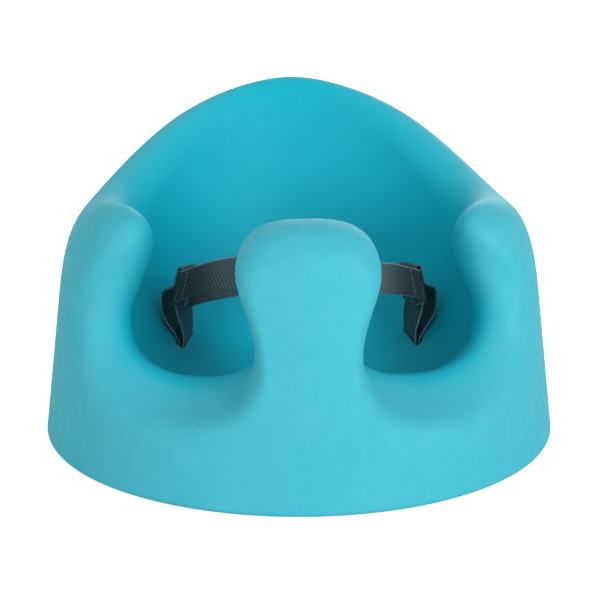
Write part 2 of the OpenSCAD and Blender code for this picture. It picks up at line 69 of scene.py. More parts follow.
def newMaterial(name):
    material = bpy.data.materials.new(name)
    material.use_nodes = True
    return material, material.node_tree, material.node_tree.nodes["Principled BSDF"]


def lengthRows(v):
    return np.linalg.norm(v, axis=-1, keepdims=True)


def unitRows(v):
    return v / lengthRows(v)


def dotRows(u, v):
    return np.sum(u * v, -1, keepdims=True)


def lengthAlong(line):
    # how far along a line each of its points lies
    return np.concatenate([[0], np.cumsum(np.linalg.norm(np.diff(line, axis=0), axis=1))])


def smoothStep(x):
    q = np.clip(x, 0, 1)
    return q * q * (3 - 2 * q)


def bezier(p, t):
    t = np.asarray(t)[..., None]
    return ((1 - t) ** 3 * p[0] + 3 * (1 - t) ** 2 * t * p[1]
            + 3 * (1 - t) * t * t * p[2] + t ** 3 * p[3])


def curveThrough(points, steps, closed=False):
    # Catmull-Rom curve through the rows of points
    p = np.array(points, float)
    count = len(p)
    out = []
    for i in range(count if closed else count - 1):
        a, b, c, d = [p[(i + k) % count] if closed else p[min(count - 1, max(0, i + k))]
                      for k in (-1, 0, 1, 2)]
        for k in range(steps):
            t = k / steps
            out.append(0.5 * (2 * b + (c - a) * t + (2 * a - 5 * b + 4 * c - d) * t * t
                              + (3 * b - a - 3 * c + d) * t ** 3))
    if not closed:
        out.append(p[-1])
    return np.array(out)


def meshObject(name, points, faces, material, uvRows=None):
    # points in mm; uvRows holds one (along, across) pair in mm for each point
    mesh = bpy.data.meshes.new(name)
    mesh.from_pydata((np.asarray(points) * mm).tolist(), [], faces)
    if uvRows is not None:
        layer = mesh.uv_layers.new(name="alongAcross")
        loops = np.zeros(len(mesh.loops), np.int32)
        mesh.loops.foreach_get("vertex_index", loops)
        layer.data.foreach_set("uv", np.asarray(uvRows, np.float32)[loops].ravel())
    mesh.materials.append(material)
    mesh.shade_smooth()
    obj = bpy.data.objects.new(name, mesh)
    bpy.context.scene.collection.objects.link(obj)
    return obj


def faceOutward(obj, joinWithin=0):
    # turns every face outward, once points closer than joinWithin metres are one point
    work = bmesh.new()
    work.from_mesh(obj.data)
    if joinWithin:
        bmesh.ops.remove_doubles(work, verts=work.verts, dist=joinWithin)
    bmesh.ops.recalc_face_normals(work, faces=work.faces)
    work.to_mesh(obj.data)
    work.free()


# camera, fitted to the photograph

cameraFit = {
    "place": (-47.3, -1127.7, 407.5), "lens": 94.1, "sensor": 36, "clipMetres": (0.05, 60),
    "right": (0.99909, -0.04254, 0.0), "up": (0.01138, 0.26717, 0.96358),
    "ahead": (0.04099, 0.96271, -0.26741),
}


def makeCamera():
    data = bpy.data.cameras.new("photoCamera")
    data.lens, data.sensor_width = cameraFit["lens"], cameraFit["sensor"]
    data.clip_start, data.clip_end = cameraFit["clipMetres"]
    camera = bpy.data.objects.new("photoCamera", data)
    bpy.context.scene.collection.objects.link(camera)
    right, up, ahead = (Vector(cameraFit[k]).normalized() for k in ("right", "up", "ahead"))
    turn = Matrix((right, up, -ahead)).transposed().to_4x4()
    camera.matrix_world = Matrix.Translation(Vector(cameraFit["place"]) * mm) @ turn
    bpy.context.scene.camera = camera


makeCamera()
print("camera placed")


# materials

# base and bowl are painted light: the outside paler for the haze it reflects, the bowl more
# saturated for the light bounced inside it
foamFinish = {
    # the leg-well colour is painted shade, where the arms and side walls shadow the wells
    "base": "#4ABBCC", "bowl": "#00B5CC", "deep": "#1FA9BE", "wellShade": "#0094A7", "deepShare": 0.17,
    "roughness": (0.55, 0.67), "mottleMm": 9, "cloudMm": 60, "grainMm": 1.1, "waveMm": 45,
    "grainDepthMm": 0.05, "waveDepthMm": 0.5,
}


def mouldedFoam():
    # integral-skin polyurethane foam, moulded: a satin skin with a faint mottling and a fine
    # pebble from the mould. Light is painted into its colour: the bowl more saturated for the
    # light bounced inside it, the outside paler for the haze it reflects, painted shade in the leg
    # wells
    f = foamFinish
    material, tree, skin = newMaterial("mouldedFoam")
    place = addNode(tree, "ShaderNodeTexCoord").outputs["Object"]
    noise = {}
    for part, size, detail, roughness in (
            ("mottle", f["mottleMm"], 5, 0.6), ("cloud", f["cloudMm"], 3, 0.5),
            ("grain", f["grainMm"], 2, 0.5), ("wave", f["waveMm"], 1, 0.4)):
        noise[part] = addNode(tree, "ShaderNodeTexNoise", inputs={
            "Vector": place, "Scale": 1000 / size, "Detail": detail,
            "Roughness": roughness}).outputs["Fac"]
    mottleShare = addNode(tree, "ShaderNodeMapRange", inputs={
        "Value": noise["mottle"], "From Min": 0.35, "From Max": 0.68})
    cloudShare = addNode(tree, "ShaderNodeMapRange", inputs={
        "Value": noise["cloud"], "From Min": 0.3, "From Max": 0.7})
    # the mesh's own mark: 0 outside, 1 in the bowl, and up to 2 deep in a leg well's painted shade
    inBowl = addNode(tree, "ShaderNodeAttribute", {"attribute_name": "inBowl"}).outputs["Fac"]
    # painted light: paler outside for the reflected haze, more saturated in the bowl for the
    # bounced light
    hazeAndBounceLight = addNode(tree, "ShaderNodeMix", {"data_type": "RGBA"}, {
        0: inBowl, 6: linearColour(f["base"]), 7: linearColour(f["bowl"])})
    # painted shade: the mark above 1 darkens the colour towards the leg wells' shaded tone
    wellShadeShare = addNode(tree, "ShaderNodeMath", {"operation": "SUBTRACT"}, {0: inBowl, 1: 1})
    wellShaded = addNode(tree, "ShaderNodeMix", {"data_type": "RGBA"}, {
        0: wellShadeShare.outputs[0], 6: hazeAndBounceLight.outputs[2], 7: linearColour(f["wellShade"])})
    both = addNode(tree, "ShaderNodeMath", {"operation": "ADD"}, {
        0: mottleShare.outputs["Result"], 1: cloudShare.outputs["Result"]})
    share = addNode(tree, "ShaderNodeMath", {"operation": "MULTIPLY"}, {
        0: both.outputs[0], 1: f["deepShare"]})
    colour = addNode(tree, "ShaderNodeMix", {"data_type": "RGBA"}, {
        0: share.outputs[0], 6: wellShaded.outputs[2], 7: linearColour(f["deep"])})
    tree.links.new(colour.outputs[2], skin.inputs["Base Color"])
    rough = addNode(tree, "ShaderNodeMapRange", inputs={
        "Value": noise["mottle"], "From Min": 0.3, "From Max": 0.7,
        "To Min": f["roughness"][0], "To Max": f["roughness"][1]})
    tree.links.new(rough.outputs["Result"], skin.inputs["Roughness"])
    softBump = addNode(tree, "ShaderNodeBump", inputs={
        "Height": noise["wave"], "Distance": f["waveDepthMm"] * mm, "Strength": 0.6})
    fineBump = addNode(tree, "ShaderNodeBump", inputs={
        "Height": noise["grain"], "Distance": f["grainDepthMm"] * mm, "Strength": 0.8,
        "Normal": softBump.outputs["Normal"]})
    tree.links.new(fineBump.outputs["Normal"], skin.inputs["Normal"])
    skin.inputs["IOR"].default_value = 1.49
    skin.inputs["Specular IOR Level"].default_value = 0.2
    return material


webbingFinish = {
    # the two yarn tones are partly the webbing's own dark teal, partly painted light: lighter rib
    # tops, darker grooves
    "ribMm": 1.25, "pickMm": 2.4, "twillStep": 0.25, "depthMm": 0.16, "warpAndRibHighlight": "#264A53",
    # the selvedge colour is a painted highlight along both edges
    "weftAndGrooveShade": "#081517", "selvedgeHighlight": "#7F9196", "halfWidthMm": 12.5, "selvedgeMm": 0.9,
    # the paler tone by the buckle is a painted sheen
    "roughness": (0.68, 0.4), "paintedSheen": "#A6BBBF", "sheenFromMm": 80, "sheenToMm": 54,
    "sheenShare": 0.42, "sheen": 0.25, "sheenTint": "#A9C6CE",
}


def wovenWebbing():
    # woven polypropylene webbing: ribs of shiny flat yarn run along it and step over the
    # weft in a twill; its rib tops and edges carry a painted highlight and its grooves painted
    # shade, and a painted sheen makes it paler either side of the buckle
    f = webbingFinish
    material, tree, cloth = newMaterial("wovenWebbing")
    uv = addNode(tree, "ShaderNodeUVMap", {"uv_map": "alongAcross"})
    split = addNode(tree, "ShaderNodeSeparateXYZ", inputs={0: uv.outputs["UV"]})
    along, across = split.outputs["X"], split.outputs["Y"]

    # the weave's height: ribs across the band, and where a rib goes over the weft
    ribCount = addNode(tree, "ShaderNodeMath", {"operation": "DIVIDE"}, {
        0: across, 1: f["ribMm"]}).outputs[0]
    rib = addNode(tree, "ShaderNodeMath", {"operation": "FLOOR"}, {0: ribCount}).outputs[0]
    wave = addNode(tree, "ShaderNodeMath", {"operation": "PINGPONG"}, {
        0: ribCount, 1: 0.5}).outputs[0]
    ridge = addNode(tree, "ShaderNodeMapRange", {"interpolation_type": "SMOOTHSTEP"}, {
        "Value": wave, "From Max": 0.3}).outputs["Result"]
    picks = addNode(tree, "ShaderNodeMath", {"operation": "DIVIDE"}, {
        0: along, 1: f["pickMm"]}).outputs[0]
    step = addNode(tree, "ShaderNodeMath", {"operation": "MULTIPLY_ADD"}, {
        0: rib, 1: f["twillStep"], 2: picks}).outputs[0]
    over = addNode(tree, "ShaderNodeMath", {"operation": "PINGPONG"}, {
        0: step, 1: 0.5}).outputs[0]
    lift = addNode(tree, "ShaderNodeMapRange", {"interpolation_type": "SMOOTHSTEP"}, {
        "Value": over, "From Max": 0.5, "To Min": 0.3}).outputs["Result"]
    height = addNode(tree, "ShaderNodeMath", {"operation": "MULTIPLY"}, {
        0: ridge, 1: lift}).outputs[0]
    # painted light on the weave: the raised rib tops take the lighter tone as a highlight, the
    # grooves the nearly black one as shade
    yarn = addNode(tree, "ShaderNodeMix", {"data_type": "RGBA"}, {
        0: height, 6: linearColour(f["weftAndGrooveShade"]), 7: linearColour(f["warpAndRibHighlight"])})

    # painted sheen: the rib tops are painted paler on both sides of the buckle
    place = addNode(tree, "ShaderNodeTexCoord").outputs["Object"]
    middle = addNode(tree, "ShaderNodeSeparateXYZ", inputs={0: place}).outputs["X"]
    away = addNode(tree, "ShaderNodeMath", {"operation": "ABSOLUTE"}, {0: middle}).outputs[0]
    paintedSheen = addNode(tree, "ShaderNodeMapRange", {"interpolation_type": "SMOOTHSTEP"}, {
        "Value": away, "From Min": f["sheenFromMm"] * mm, "From Max": f["sheenToMm"] * mm,
        "To Max": f["sheenShare"]}).outputs["Result"]
    sheenOnRibs = addNode(tree, "ShaderNodeMath", {"operation": "MULTIPLY"}, {
        0: height, 1: paintedSheen}).outputs[0]
    withSheen = addNode(tree, "ShaderNodeMix", {"data_type": "RGBA"}, {
        0: sheenOnRibs, 6: yarn.outputs[2], 7: linearColour(f["paintedSheen"])})

    # the selvedges, painted paler on the rib tops as a highlight along both edges
    side = addNode(tree, "ShaderNodeMath", {"operation": "ABSOLUTE"}, {0: across}).outputs[0]
    edge = addNode(tree, "ShaderNodeMath", {"operation": "GREATER_THAN"}, {
        0: side, 1: f["halfWidthMm"] - f["selvedgeMm"]}).outputs[0]
    edgeHighlightShare = addNode(tree, "ShaderNodeMath", {"operation": "MULTIPLY"}, {
        0: edge, 1: lift}).outputs[0]
    colour = addNode(tree, "ShaderNodeMix", {"data_type": "RGBA"}, {
        0: edgeHighlightShare, 6: withSheen.outputs[2], 7: linearColour(f["selvedgeHighlight"])})
    tree.links.new(colour.outputs[2], cloth.inputs["Base Color"])

    rough = addNode(tree, "ShaderNodeMapRange", inputs={
        "Value": height, "To Min": f["roughness"][0], "To Max": f["roughness"][1]})
    tree.links.new(rough.outputs["Result"], cloth.inputs["Roughness"])
    bump = addNode(tree, "ShaderNodeBump", inputs={
        "Height": height, "Distance": f["depthMm"] * mm, "Strength": 0.9})
    tree.links.new(bump.outputs["Normal"], cloth.inputs["Normal"])
    cloth.inputs["IOR"].default_value = 1.49
    cloth.inputs["Sheen Weight"].default_value = f["sheen"]
    cloth.inputs["Sheen Roughness"].default_value = 0.4
    cloth.inputs["Sheen Tint"].default_value = linearColour(f["sheenTint"])
    return material


threadFinish = {"shaded": "#55686E", "lit": "#92A6AC", "turnMm": 3.5626, "depthMm": 0.08}


def bondedThread():
    # bonded nylon thread: pale grey, twisted, slightly glossy
    f = threadFinish
    material, tree, thread = newMaterial("bondedThread")
    place = addNode(tree, "ShaderNodeTexCoord").outputs["Object"]
    bandStep = 2 * math.pi / 10  # how far apart along an axis the bands lie at a scale of 1
    twist = addNode(tree, "ShaderNodeTexWave", {
        "wave_type": "BANDS", "bands_direction": "DIAGONAL"}, {
        "Vector": place, "Scale": 1000 * bandStep / f["turnMm"], "Distortion": 1.5, "Detail": 1})
    colour = addNode(tree, "ShaderNodeMix", {"data_type": "RGBA"}, {
        0: twist.outputs["Fac"], 6: linearColour(f["shaded"]), 7: linearColour(f["lit"])})
    tree.links.new(colour.outputs[2], thread.inputs["Base Color"])
    bump = addNode(tree, "ShaderNodeBump", inputs={
        "Height": twist.outputs["Fac"], "Distance": f["depthMm"] * mm, "Strength": 0.7})
    tree.links.new(bump.outputs["Normal"], thread.inputs["Normal"])
    thread.inputs["Roughness"].default_value = 0.45
    thread.inputs["IOR"].default_value = 1.53
    return material


acetalFinish = {"base": "#17191B", "scuffed": "#24282A", "roughness": (0.34, 0.5),
                "grainMm": 0.45, "grainDepthMm": 0.03, "scuffMm": 6, "edgeMm": 0.5}


def mouldedAcetal():
    # black acetal, moulded: a fine spark-eroded grain, faint paler scuffs, edges just rounded
    f = acetalFinish
    material, tree, plastic = newMaterial("mouldedAcetal")
    place = addNode(tree, "ShaderNodeTexCoord").outputs["Object"]
    grain = addNode(tree, "ShaderNodeTexNoise", inputs={
        "Vector": place, "Scale": 1000 / f["grainMm"], "Detail": 3, "Roughness": 0.6})
    scuff = addNode(tree, "ShaderNodeTexNoise", inputs={
        "Vector": place, "Scale": 1000 / f["scuffMm"], "Detail": 6, "Roughness": 0.65})
    scuffShare = addNode(tree, "ShaderNodeMapRange", inputs={
        "Value": scuff.outputs["Fac"], "From Min": 0.5, "From Max": 0.72})
    colour = addNode(tree, "ShaderNodeMix", {"data_type": "RGBA"}, {
        0: scuffShare.outputs["Result"], 6: linearColour(f["base"]),
        7: linearColour(f["scuffed"])})
    tree.links.new(colour.outputs[2], plastic.inputs["Base Color"])
    rough = addNode(tree, "ShaderNodeMapRange", inputs={
        "Value": scuff.outputs["Fac"], "From Min": 0.3, "From Max": 0.7,
        "To Min": f["roughness"][0], "To Max": f["roughness"][1]})
    tree.links.new(rough.outputs["Result"], plastic.inputs["Roughness"])
    edge = addNode(tree, "ShaderNodeBevel", {"samples": 4}, {"Radius": f["edgeMm"] * mm})
    bump = addNode(tree, "ShaderNodeBump", inputs={
        "Height": grain.outputs["Fac"], "Distance": f["grainDepthMm"] * mm, "Strength": 0.6,
        "Normal": edge.outputs["Normal"]})
    tree.links.new(bump.outputs["Normal"], plastic.inputs["Normal"])
    plastic.inputs["IOR"].default_value = 1.48
    return material


steelFinish = {"dark": "#B9BCC0", "light": "#CDD0D3", "roughness": (0.22, 0.42), "lineMm": 0.25,
               "lineDepthMm": 0.02, "drawn": (1, 0.03, 1)}


def drawnSteel():
    # drawn steel rod: fine lines along it and a grey, even shine
    f = steelFinish
    material, tree, steel = newMaterial("drawnSteel")
    place = addNode(tree, "ShaderNodeTexCoord").outputs["Object"]
    stretch = addNode(tree, "ShaderNodeMapping", inputs={"Vector": place, "Scale": f["drawn"]})
    lines = addNode(tree, "ShaderNodeTexNoise", inputs={
        "Vector": stretch.outputs["Vector"], "Scale": 1000 / f["lineMm"], "Detail": 2})
    rough = addNode(tree, "ShaderNodeMapRange", inputs={
        "Value": lines.outputs["Fac"], "To Min": f["roughness"][0], "To Max": f["roughness"][1]})
    tree.links.new(rough.outputs["Result"], steel.inputs["Roughness"])
    colour = addNode(tree, "ShaderNodeMix", {"data_type": "RGBA"}, {
        0: lines.outputs["Fac"], 6: linearColour(f["dark"]), 7: linearColour(f["light"])})
    tree.links.new(colour.outputs[2], steel.inputs["Base Color"])
    bump = addNode(tree, "ShaderNodeBump", inputs={
        "Height": lines.outputs["Fac"], "Distance": f["lineDepthMm"] * mm, "Strength": 0.5})
    tree.links.new(bump.outputs["Normal"], steel.inputs["Normal"])
    steel.inputs["Metallic"].default_value = 1.0
    return material


foamSkin = mouldedFoam()
webbing = wovenWebbing()
thread = bondedThread()
acetal = mouldedAcetal()
steelRod = drawnSteel()
print("materials made")


# The foam seat: the solid's loft with finer lines, its arms' front edges, its shoulders and
# the horn's corners set closer to the photograph. How far round a place lies is measured in
# mm on a circle of radius mapR, from the middle of the front.

seatForm = {
    # the outer wall and the rim
    "baseD": 380, "baseEdgeR": 4.5, "wallLean": 0.125, "mapR": 165, "backH": 242, "shoulderH": 62,
    "backRound": 33, "hornH": 186, "hornW": 116, "neckW": 74, "lipZ": 67, "legReach": 164,
    "armReach": 142, "armH": 182, "hipH": 169,
    # the bowl and its scoops; angles are in degrees from the front
    "floorZ": 40, "bowlR": 104, "bowlLean": 0.12, "bowlLeanZ": 90, "hipShare": 0.05, "bowlBack": 2,
    "backLean": 0.1, "backLeanZ": 70, "floorPower": 2.2, "floorRoundH": 84, "frontRoundH": 33,
    "frontAngle": 40, "sideAngle": 88, "thighAngle": 59, "thighSpread": 24, "thighScoop": 32,
    "thighScoopTop": 9, "scoopFadeZ": (95, 155),
    # the recess and the foot
    "recessD": 308, "recessH": 18, "recessFlare": 1, "recessCornerR": 6, "recessLipR": 3,
    "footInset": (8, 4),
    # how strongly the lines start out at the foot and under the rim
    "footPull": 0.45, "wallPull": (0.33, 0.6), "bowlPull": (0.35, 0.8),
    # how finely the seat is drawn
    "lines": 480, "wallRows": 20, "archRows": 10, "bowlRows": 28, "bowlMidH": 60, "bowlCrowd": 1.3,
    "sharpAngle": 50,
}


def rimStations():
    # half the rim, from the front to the back. Each row holds how far round and how high the
    # ridge, the outer seam and the inner seam lie, then how far round base and floor are met.
    s = seatForm
    h, n, e, a = s["hornW"] / 2, s["neckW"] / 2, s["legReach"], s["armReach"]
    hornH, lipZ, armH, hipH, backH = s["hornH"], s["lipZ"], s["armH"], s["hipH"], s["backH"]
    shoulder, rounding, half = s["shoulderH"], s["backRound"], math.pi * s["mapR"]
    bulb, neck = hornH - 36, hornH - 88
    rows = [
        [0, hornH, 0, hornH - 28, 0, hornH - 24, 0, 0],
        [0.48 * h, hornH - 1, 0.29 * h, hornH - 28, 0.33 * h, hornH - 25, 4, 5],
        [0.86 * h, hornH - 11, 0.5 * h, hornH - 33, 0.54 * h, hornH - 32, 8, 10],
        [h, bulb, 0.62 * h, bulb - 6, 0.63 * h, bulb - 7, 12, 16],
        [0.4 * h + 0.59 * n, bulb - 24, 0.78 * n, bulb - 26, 0.92 * n, bulb - 28, 17, 21],
        [n, neck, 0.68 * n, neck - 2, 0.84 * n, neck - 3, 25, 37],
        [n + 8, lipZ + 12, n - 10, lipZ - 3, n + 6, lipZ + 1, 37, 61],
        [n + 30, lipZ + 2, n + 18, lipZ - 22, n + 32, lipZ - 12, 60, 70],
        [n + 63, lipZ - 2, n + 63, lipZ - 30, n + 65, lipZ - 16, 100, 100],
        [e - 39, lipZ + 2, e - 29, lipZ - 26, e - 35, lipZ - 13, 138, 140],
        [e - 1, lipZ + 19, e + 21, lipZ - 9, e + 2, lipZ + 7, 166, 160],
        [e + 2, lipZ + 48, e + 36, lipZ + 19, e + 11, lipZ + 34, 190, 186],
        [a + 4, armH - 32, a + 62, armH - 76, a + 25, armH - 47, 208, 215],
        [a - 5, armH - 5, a + 60, armH - shoulder - 8, a + 42, armH - 26, 222, 246],
        [a + 36, armH, a + 78, armH - shoulder - 10, a + 66, armH - 24, 236, 256],
        [232, hipH + 4, 254, hipH - shoulder + 1, 246, hipH - 19, 256, 276],
        [280, hipH, 288, hipH - shoulder + 1, 286, hipH - 23, 288, 302],
        [326, hipH + 9, 327, hipH - shoulder + 15, 326, hipH - 13, 327, 338],
        [369, backH - 45, 369, backH - 90, 369, backH - 66, 369, 375],
        [412, backH - 24, 412, backH - 62, 412, backH - 43, 412, 414],
        [455, backH - 10, 455, backH - rounding - 10, 455, backH - 28, 455, 456],
        [492, backH - 2, 492, backH - rounding - 2, 492, backH - 21, 492, 493],
        [half, backH, half, backH - rounding, half, backH - 19, half, half],
    ]
    return np.array(rows, float)


def rimRows(count, fineness=48):
    # even steps round the rim's ridge, on a closed B-spline that the stations steer
    half = rimStations()
    turn = 2 * math.pi * seatForm["mapR"] * np.array([1, 0, 1, 0, 1, 0, 1, 1])
    other = half[-2:0:-1] * np.where(turn > 0, -1, 1) + turn
    knots = np.vstack([half, other])
    total = len(knots)

    def at(u):
        i = np.floor(u).astype(int)
        f = (u - i)[:, None]
        weights = [(1 - f) ** 3 / 6, (3 * f ** 3 - 6 * f ** 2 + 4) / 6,
                   (-3 * f ** 3 + 3 * f ** 2 + 3 * f + 1) / 6, f ** 3 / 6]
        return sum(w * (knots[(i + k) % total] + ((i + k) // total)[:, None] * turn)
                   for w, k in zip(weights, (-1, 0, 1, 2)))

    fine = np.arange(fineness * total + 1) / fineness
    length = lengthAlong(at(fine)[:, :2])
    return at(np.interp(length[-1] * np.arange(count) / count, length, fine))


def onWall(w, z):
    # a place on the outer wall, a cone that leans inwards
    s = seatForm
    a, r = w / s["mapR"], s["baseD"] / 2 - s["wallLean"] * z
    return np.stack([r * np.sin(a), -r * np.cos(a), z], -1)


def onBowl(w, z):
    # a place on the bowl, a rounded funnel with a scoop for each thigh
    s = seatForm
    a = w / s["mapR"]
    ahead = np.abs((np.degrees(a) + 540) % 360 - 180)
    fadeLow, fadeHigh = s["scoopFadeZ"]
    scoop = s["thighScoop"] - (s["thighScoop"] - s["thighScoopTop"]) * smoothStep(
        (z - fadeLow) / (fadeHigh - fadeLow))
    wide = 1 + s["hipShare"] * np.sin(a) ** 2
    reach = ((s["bowlR"] + s["bowlLean"] * (z - s["bowlLeanZ"])) * wide
             + scoop * np.exp(-((ahead - s["thighAngle"]) / s["thighSpread"]) ** 2))
    front = smoothStep((s["sideAngle"] - ahead) / (s["sideAngle"] - s["frontAngle"]))
    roundH = s["floorRoundH"] - (s["floorRoundH"] - s["frontRoundH"]) * front
    t = np.clip((z - s["floorZ"]) / roundH, 0, 1)
    r = reach * np.sqrt(np.maximum(0, 1 - (1 - t) ** s["floorPower"]))
    y = s["bowlBack"] + s["backLean"] * np.maximum(z - s["backLeanZ"], 0) - r * np.cos(a)
    return np.stack([r * np.sin(a), y, z], -1)


def underRings(a, edgeSteps=8):
    # rings from the recess's ceiling out to the foot and up round the base's edge
    s = seatForm
    baseR, edgeR, recessR = s["baseD"] / 2, s["baseEdgeR"], s["recessD"] / 2
    flare, cornerR, lipR = s["recessFlare"], s["recessCornerR"], s["recessLipR"]

    def ring(r, z):
        return np.stack([r * np.sin(a), -r * np.cos(a), np.full(len(a), float(z))], -1)

    # the recess turns down from its ceiling with a soft corner, then meets the foot
    cornerX = recessR - 2 * flare - cornerR
    rings = [ring(cornerX - cornerR, s["recessH"])]
    for q in (math.radians(d) for d in range(0, 91, 15)):
        rings.append(ring(cornerX + cornerR * math.sin(q),
                          s["recessH"] - cornerR + cornerR * math.cos(q)))
    for q in (math.radians(d) for d in range(0, 91, 30)):
        rings.append(ring(recessR - flare + lipR - lipR * math.cos(q), lipR - lipR * math.sin(q)))
    inset, outset = s["footInset"]
    rings += [ring(r, 0) for r in (recessR + inset, (recessR + baseR) / 2, baseR - edgeR - outset)]
    for i in range(edgeSteps + 1):
        q = math.radians(i * 90 / edgeSteps)
        lean = 1 - s["wallLean"] * i / edgeSteps
        rings.append(ring(baseR - edgeR + edgeR * lean * math.sin(q), edgeR * (1 - math.cos(q))))
    return rings


def surfaceSlope(place, p, d):
    # which way a surface runs at p, when how far round and how high change along d
    return unitRows(place(*(p + 0.5 * d).T) - place(*(p - 0.5 * d).T))


def rimArches(ridge, outer, inner):
    # the rim's cross-section as two curves, close to quarter circles, that meet at its top
    start, end = onWall(*outer.T), onBowl(*inner.T)
    top = (onWall(*ridge.T) + onBowl(*ridge.T)) / 2
    dOut = surfaceSlope(onWall, outer, unitRows(ridge - outer))
    dIn = surfaceSlope(onBowl, inner, unitRows(ridge - inner))
    crest, span = unitRows(dOut + dIn), end - start
    across = unitRows(span - dotRows(span, crest) * crest)
    pull = 0.5523  # with this pull a cubic follows a quarter circle
    archOut = [start, start + pull * np.abs(dotRows(top - start, dOut)) * dOut,
               top - pull * np.abs(dotRows(top - start, across)) * across, top]
    archIn = [top, top + pull * np.abs(dotRows(end - top, across)) * across,
              end + pull * np.abs(dotRows(end - top, dIn)) * dIn, end]
    return archOut, archIn


def seatPoints():
    s = seatForm
    rows = rimRows(s["lines"])
    ridge, outer, inner = rows[:, 0:2], rows[:, 2:4], rows[:, 4:6]
    base = np.stack([rows[:, 6], np.full(len(rows), s["baseEdgeR"])], -1)
    floor = np.stack([rows[:, 7], np.full(len(rows), float(s["floorZ"]))], -1)
    upOut, upIn = unitRows(ridge - outer), unitRows(ridge - inner)
    rise, drop = lengthRows(outer - base), lengthRows(inner - floor)
    pull = np.minimum(s["wallPull"][0] * rise, s["wallPull"][1] * lengthRows(ridge - outer))
    sink = np.minimum(s["bowlPull"][0] * drop, s["bowlPull"][1] * lengthRows(ridge - inner))
    lift = np.concatenate([np.zeros_like(rise), s["footPull"] * rise], -1)
    wallCurve = [base, base + lift, outer - pull * upOut, outer]
    bowlCurve = [inner, inner - sink * upIn, floor, floor]

    lines = underRings(rows[:, 6] / s["mapR"])
    for i in range(1, s["wallRows"] + 1):
        p = bezier(wallCurve, i / s["wallRows"])
        lines.append(onWall(*p.T))
    for arch in rimArches(ridge, outer, inner):
        lines += [bezier(arch, i / s["archRows"]) for i in range(1, s["archRows"] + 1)]
    height = inner[:, 1] - s["floorZ"]
    for i in range(1, s["bowlRows"]):
        # a line runs level round the bowl, but stays below the rim where that is lower
        q = i / s["bowlRows"]
        level = s["bowlMidH"] * ((1 - q) / q) ** s["bowlCrowd"]
        share = 1 / np.sqrt(1 + (height / level) ** 2)
        t = 0.5 - np.sin(np.arcsin(2 * share - 1) / 3)  # undoes the curve's own ease
        p = bezier(bowlCurve, t)
        lines.append(onBowl(p[:, 0], np.maximum(p[:, 1], s["floorZ"] + 0.001)))
    return np.stack(lines, 1)


# the belt: band, slots, anchor loops and sewn ends

beltForm = {
    # the band and its slot
    "strapW": 25, "strapT": 1.5, "strapGap": 0.4, "edgeRound": ((0, 0), (0.12, 0.5), (0.7, 0.92)),
    "flatInset": 2, "slotX": 86, "slotTurn": 12, "slotGaps": 9, "slotSpare": 2, "slotZ": (8, 92),
    # the anchor loop, from its pin under the foam to its top
    "plateT": 4, "pinD": 5, "loopZ": 64, "loopTop": 124, "loopBulge": 12.5, "bendR": 2.2,
    "beltTurn": 25, "turnH": 26, "dip": 0.13, "dipFromZ": 96, "dipH": 24,
    # the strap's sewn end, and where the buckle hangs
    "foldZ": 106.5, "foldX": 2.4, "endLean": 14, "foldTip": (4.6, -11.8), "foldTipR": 0.3,
    "foldStep": 0.8, "endDipShare": 0.7, "buckleZ": 121.5, "buckleY": 26,
}


def slotCutter(side, steps=16):
    # a stadium-shaped prism, turned as the loop is, that cuts one slot through the foam
    b = beltForm
    width = 2 * b["strapT"] + b["slotGaps"] * b["strapGap"]
    length = b["strapW"] + b["slotSpare"] + width
    turn = math.radians(side * b["slotTurn"])
    outline = []
    for s in (-1, 1):
        for i in range(steps + 1):
            q = math.pi * i / steps + (0 if s > 0 else math.pi)
            x, y = width / 2 * math.cos(q), s * (length - width) / 2 + width / 2 * math.sin(q)
            outline.append((x * math.cos(turn) - y * math.sin(turn) + side * b["slotX"],
                            x * math.sin(turn) + y * math.cos(turn)))
    n = len(outline)
    points = [(x, y, z) for z in b["slotZ"] for x, y in outline]
    faces = [list(range(n))[::-1], list(range(n, 2 * n))]
    faces += [[i, (i + 1) % n, n + (i + 1) % n, n + i] for i in range(n)]
    return meshObject(f"slotCutter{side}", points, faces, foamSkin)


# where the foam's painted light turns: gain and start set how soon it takes the bowl's colour,
# painted for the light bounced inside; the rest places the painted shade in the leg wells
bowlShade = {"gain": 1.6, "start": 0.45, "lowestZ": 30, "wellShadeTopZ": 105, "wellShadeH": 45,
             "wellShadeFromX": 35, "wellShadeW": 55}


def markBowl(mesh):
    # how far each point is on its way from the outer wall to the bowl, for the foam's painted
    # light
    c = bowlShade
    place = np.zeros(len(mesh.vertices) * 3)
    mesh.vertices.foreach_get("co", place)
    x, y, z = place.reshape(-1, 3).T / mm
    w = seatForm["mapR"] * np.arctan2(x, -y)
    wall, bowl = onWall(w, z), onBowl(w, np.maximum(z, seatForm["floorZ"]))
    toWall = np.hypot(x - wall[:, 0], y - wall[:, 1])
    toBowl = np.hypot(x - bowl[:, 0], y - bowl[:, 1])
    inward = toWall / (toWall + toBowl + 0.01)
    share = smoothStep(c["gain"] * inward - c["start"]) * (z > c["lowestZ"])
    # above 1 it counts how deep in the leg wells' painted shade the point lies
    share += (share * smoothStep((c["wellShadeTopZ"] - z) / c["wellShadeH"])
              * smoothStep((np.abs(x) - c["wellShadeFromX"]) / c["wellShadeW"]))
    mark = mesh.attributes.new("inBowl", "FLOAT", "POINT")
    mark.data.foreach_set("value", share.astype(np.float32))


